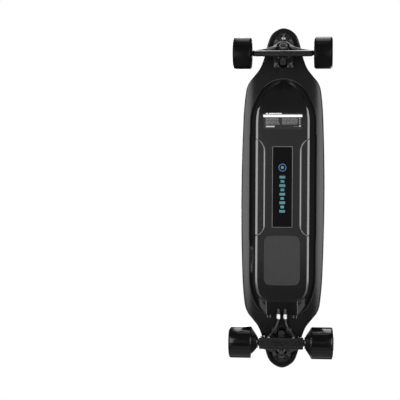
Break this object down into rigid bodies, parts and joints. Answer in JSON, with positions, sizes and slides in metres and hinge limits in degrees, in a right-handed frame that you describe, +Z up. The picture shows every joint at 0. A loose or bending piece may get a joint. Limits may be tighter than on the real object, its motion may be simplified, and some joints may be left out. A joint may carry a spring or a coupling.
{
  "type": "electric skateboard",
  "caption": "Longboard-style electric skateboard: maple deck with grip sheet, flat battery and controller box under it, reverse-kingpin trucks and rear hub-motor wheels.",
  "frame": {"origin": "on the ground, midway between the two axles and on the centre line, under the middle of the board", "axes": "+X towards the nose, +Y to the rider's left, +Z up"},
  "size_m": [0.965, 0.29, 0.1277],
  "materials": {
    "painted_wood": "satin black lacquer over maple plies",
    "grip": "fine dark grey abrasive grit",
    "box_black": "smooth moulded, semi-gloss",
    "seal": "matt foam seal",
    "cheek_black": "fine spark texture",
    "panel_black": "polished",
    "sink_grey": "bead-blasted dark anodised",
    "label_print": "printed film",
    "screw_black": "black oxide",
    "cell_wrap": "shrink wrap",
    "tray_plastic": "moulded",
    "circuit_green": "solder mask",
    "pod_black": "satin moulded",
    "button_black": "soft touch",
    "light_pipe": "clear light pipes",
    "socket_black": "moulded",
    "cap_rubber": "soft rubber",
    "steel": "turned steel",
    "cable_jacket": "silicone jacket",
    "gland_black": "moulded nylon",
    "tag_white": "white heat-shrink",
    "riser_rubber": "matt",
    "truck_black": "satin black powder coat on cast aluminium",
    "steel_dark": "zinc plated",
    "steel_bright": "plated",
    "urethane_black": "cast urethane",
    "stator_steel": "varnished laminations",
    "urethane_wheel": "satin cast urethane",
    "core_black": "glass filled nylon",
    "motor_black": "black anodised",
    "magnet": "nickel plated"
  },
  "bodies": {
    "board": {"deck": "painted_wood", "grip_tape": "grip", "enclosure_shell": "box_black", "enclosure_gasket": "seal", "side_cheeks": "cheek_black", "centre_panel": "panel_black", "heat_sink": "sink_grey", "data_label": "label_print", "enclosure_screws": "screw_black", "battery_cells": "cell_wrap", "battery_tray": "tray_plastic", "battery_monitor": "circuit_green", "controller_board": "circuit_green", "radio_receiver": "circuit_green", "pod_bezel": "pod_black", "status_lights": "light_pipe", "charge_socket": "socket_black", "charge_cap_pin": "steel", "motor_cable_left": "cable_jacket", "motor_cable_right": "cable_jacket", "cable_glands": "gland_black", "cable_tags": "tag_white", "risers": "riser_rubber", "front_baseplate": "truck_black", "rear_baseplate": "truck_black", "front_kingpin": "steel_dark", "rear_kingpin": "steel_dark", "kingpin_nuts": "steel_bright", "front_bushings": "urethane_black", "rear_bushings": "urethane_black", "pivot_cups": "urethane_black", "truck_bolts": "screw_black", "truck_nuts": "steel_dark"},
    "front_truck": {"front_hanger": "truck_black", "front_axle": "steel", "front_axle_nuts": "steel_dark", "front_bearing_cores": "steel"},
    "rear_truck": {"rear_hanger": "truck_black", "hanger_screws": "steel_dark", "rear_axle": "steel", "motor_stators": "stator_steel"},
    "front_left_wheel": {"front_left_tyre": "urethane_wheel", "front_left_core": "core_black", "front_left_bearings": "steel"},
    "front_right_wheel": {"front_right_tyre": "urethane_wheel", "front_right_core": "core_black", "front_right_bearings": "steel"},
    "rear_left_wheel": {"rear_left_sleeve": "urethane_wheel", "rear_left_motor_can": "motor_black", "rear_left_magnets": "magnet", "rear_left_motor_cover": "motor_black", "rear_left_motor_bearings": "steel"},
    "rear_right_wheel": {"rear_right_sleeve": "urethane_wheel", "rear_right_motor_can": "motor_black", "rear_right_magnets": "magnet", "rear_right_motor_cover": "motor_black", "rear_right_motor_bearings": "steel"},
    "power_button": {"power_button": "button_black"},
    "charge_cap": {"charge_cap": "cap_rubber"}
  },
  "joints": [
    {"name": "front_steer", "type": "hinge", "parent": "board", "child": "front_truck", "pos_m": [0.4165, 0, 0.08], "axis": [0.8192, 0, 0.5736], "range_deg": [-14, 14], "stiffness_Nm_per_rad": 60, "deforming": ["front_bushings"]},
    {"name": "rear_steer", "type": "hinge", "parent": "board", "child": "rear_truck", "pos_m": [-0.4165, 0, 0.08], "axis": [-0.8192, 0, 0.5736], "range_deg": [-14, 14], "stiffness_Nm_per_rad": 60, "deforming": ["rear_bushings", "motor_cable_left", "motor_cable_right"]},
    {"name": "front_left_spin", "type": "hinge", "parent": "front_truck", "child": "front_left_wheel", "pos_m": [0.4025, 0.11195, 0.044], "axis": [0, 1, 0], "continuous": true},
    {"name": "front_right_spin", "type": "hinge", "parent": "front_truck", "child": "front_right_wheel", "pos_m": [0.4025, -0.11195, 0.044], "axis": [0, 1, 0], "continuous": true},
    {"name": "rear_left_spin", "type": "hinge", "parent": "rear_truck", "child": "rear_left_wheel", "pos_m": [-0.4025, 0.11425, 0.044], "axis": [0, 1, 0], "continuous": true},
    {"name": "rear_right_spin", "type": "hinge", "parent": "rear_truck", "child": "rear_right_wheel", "pos_m": [-0.4025, -0.11425, 0.044], "axis": [0, 1, 0], "continuous": true},
    {"name": "power_button_press", "type": "slide", "parent": "board", "child": "power_button", "axis": [0, 0.8986, 0.4388], "range_m": [0, 0.0012], "stiffness_N_per_m": 900, "springref_m": -0.0006},
    {"name": "charge_cap_flap", "type": "hinge", "parent": "board", "child": "charge_cap", "pos_m": [-0.142, -0.08858, 0.08945], "axis": [0, -0.4388, 0.8986], "range_deg": [0, 110]}
  ]
}
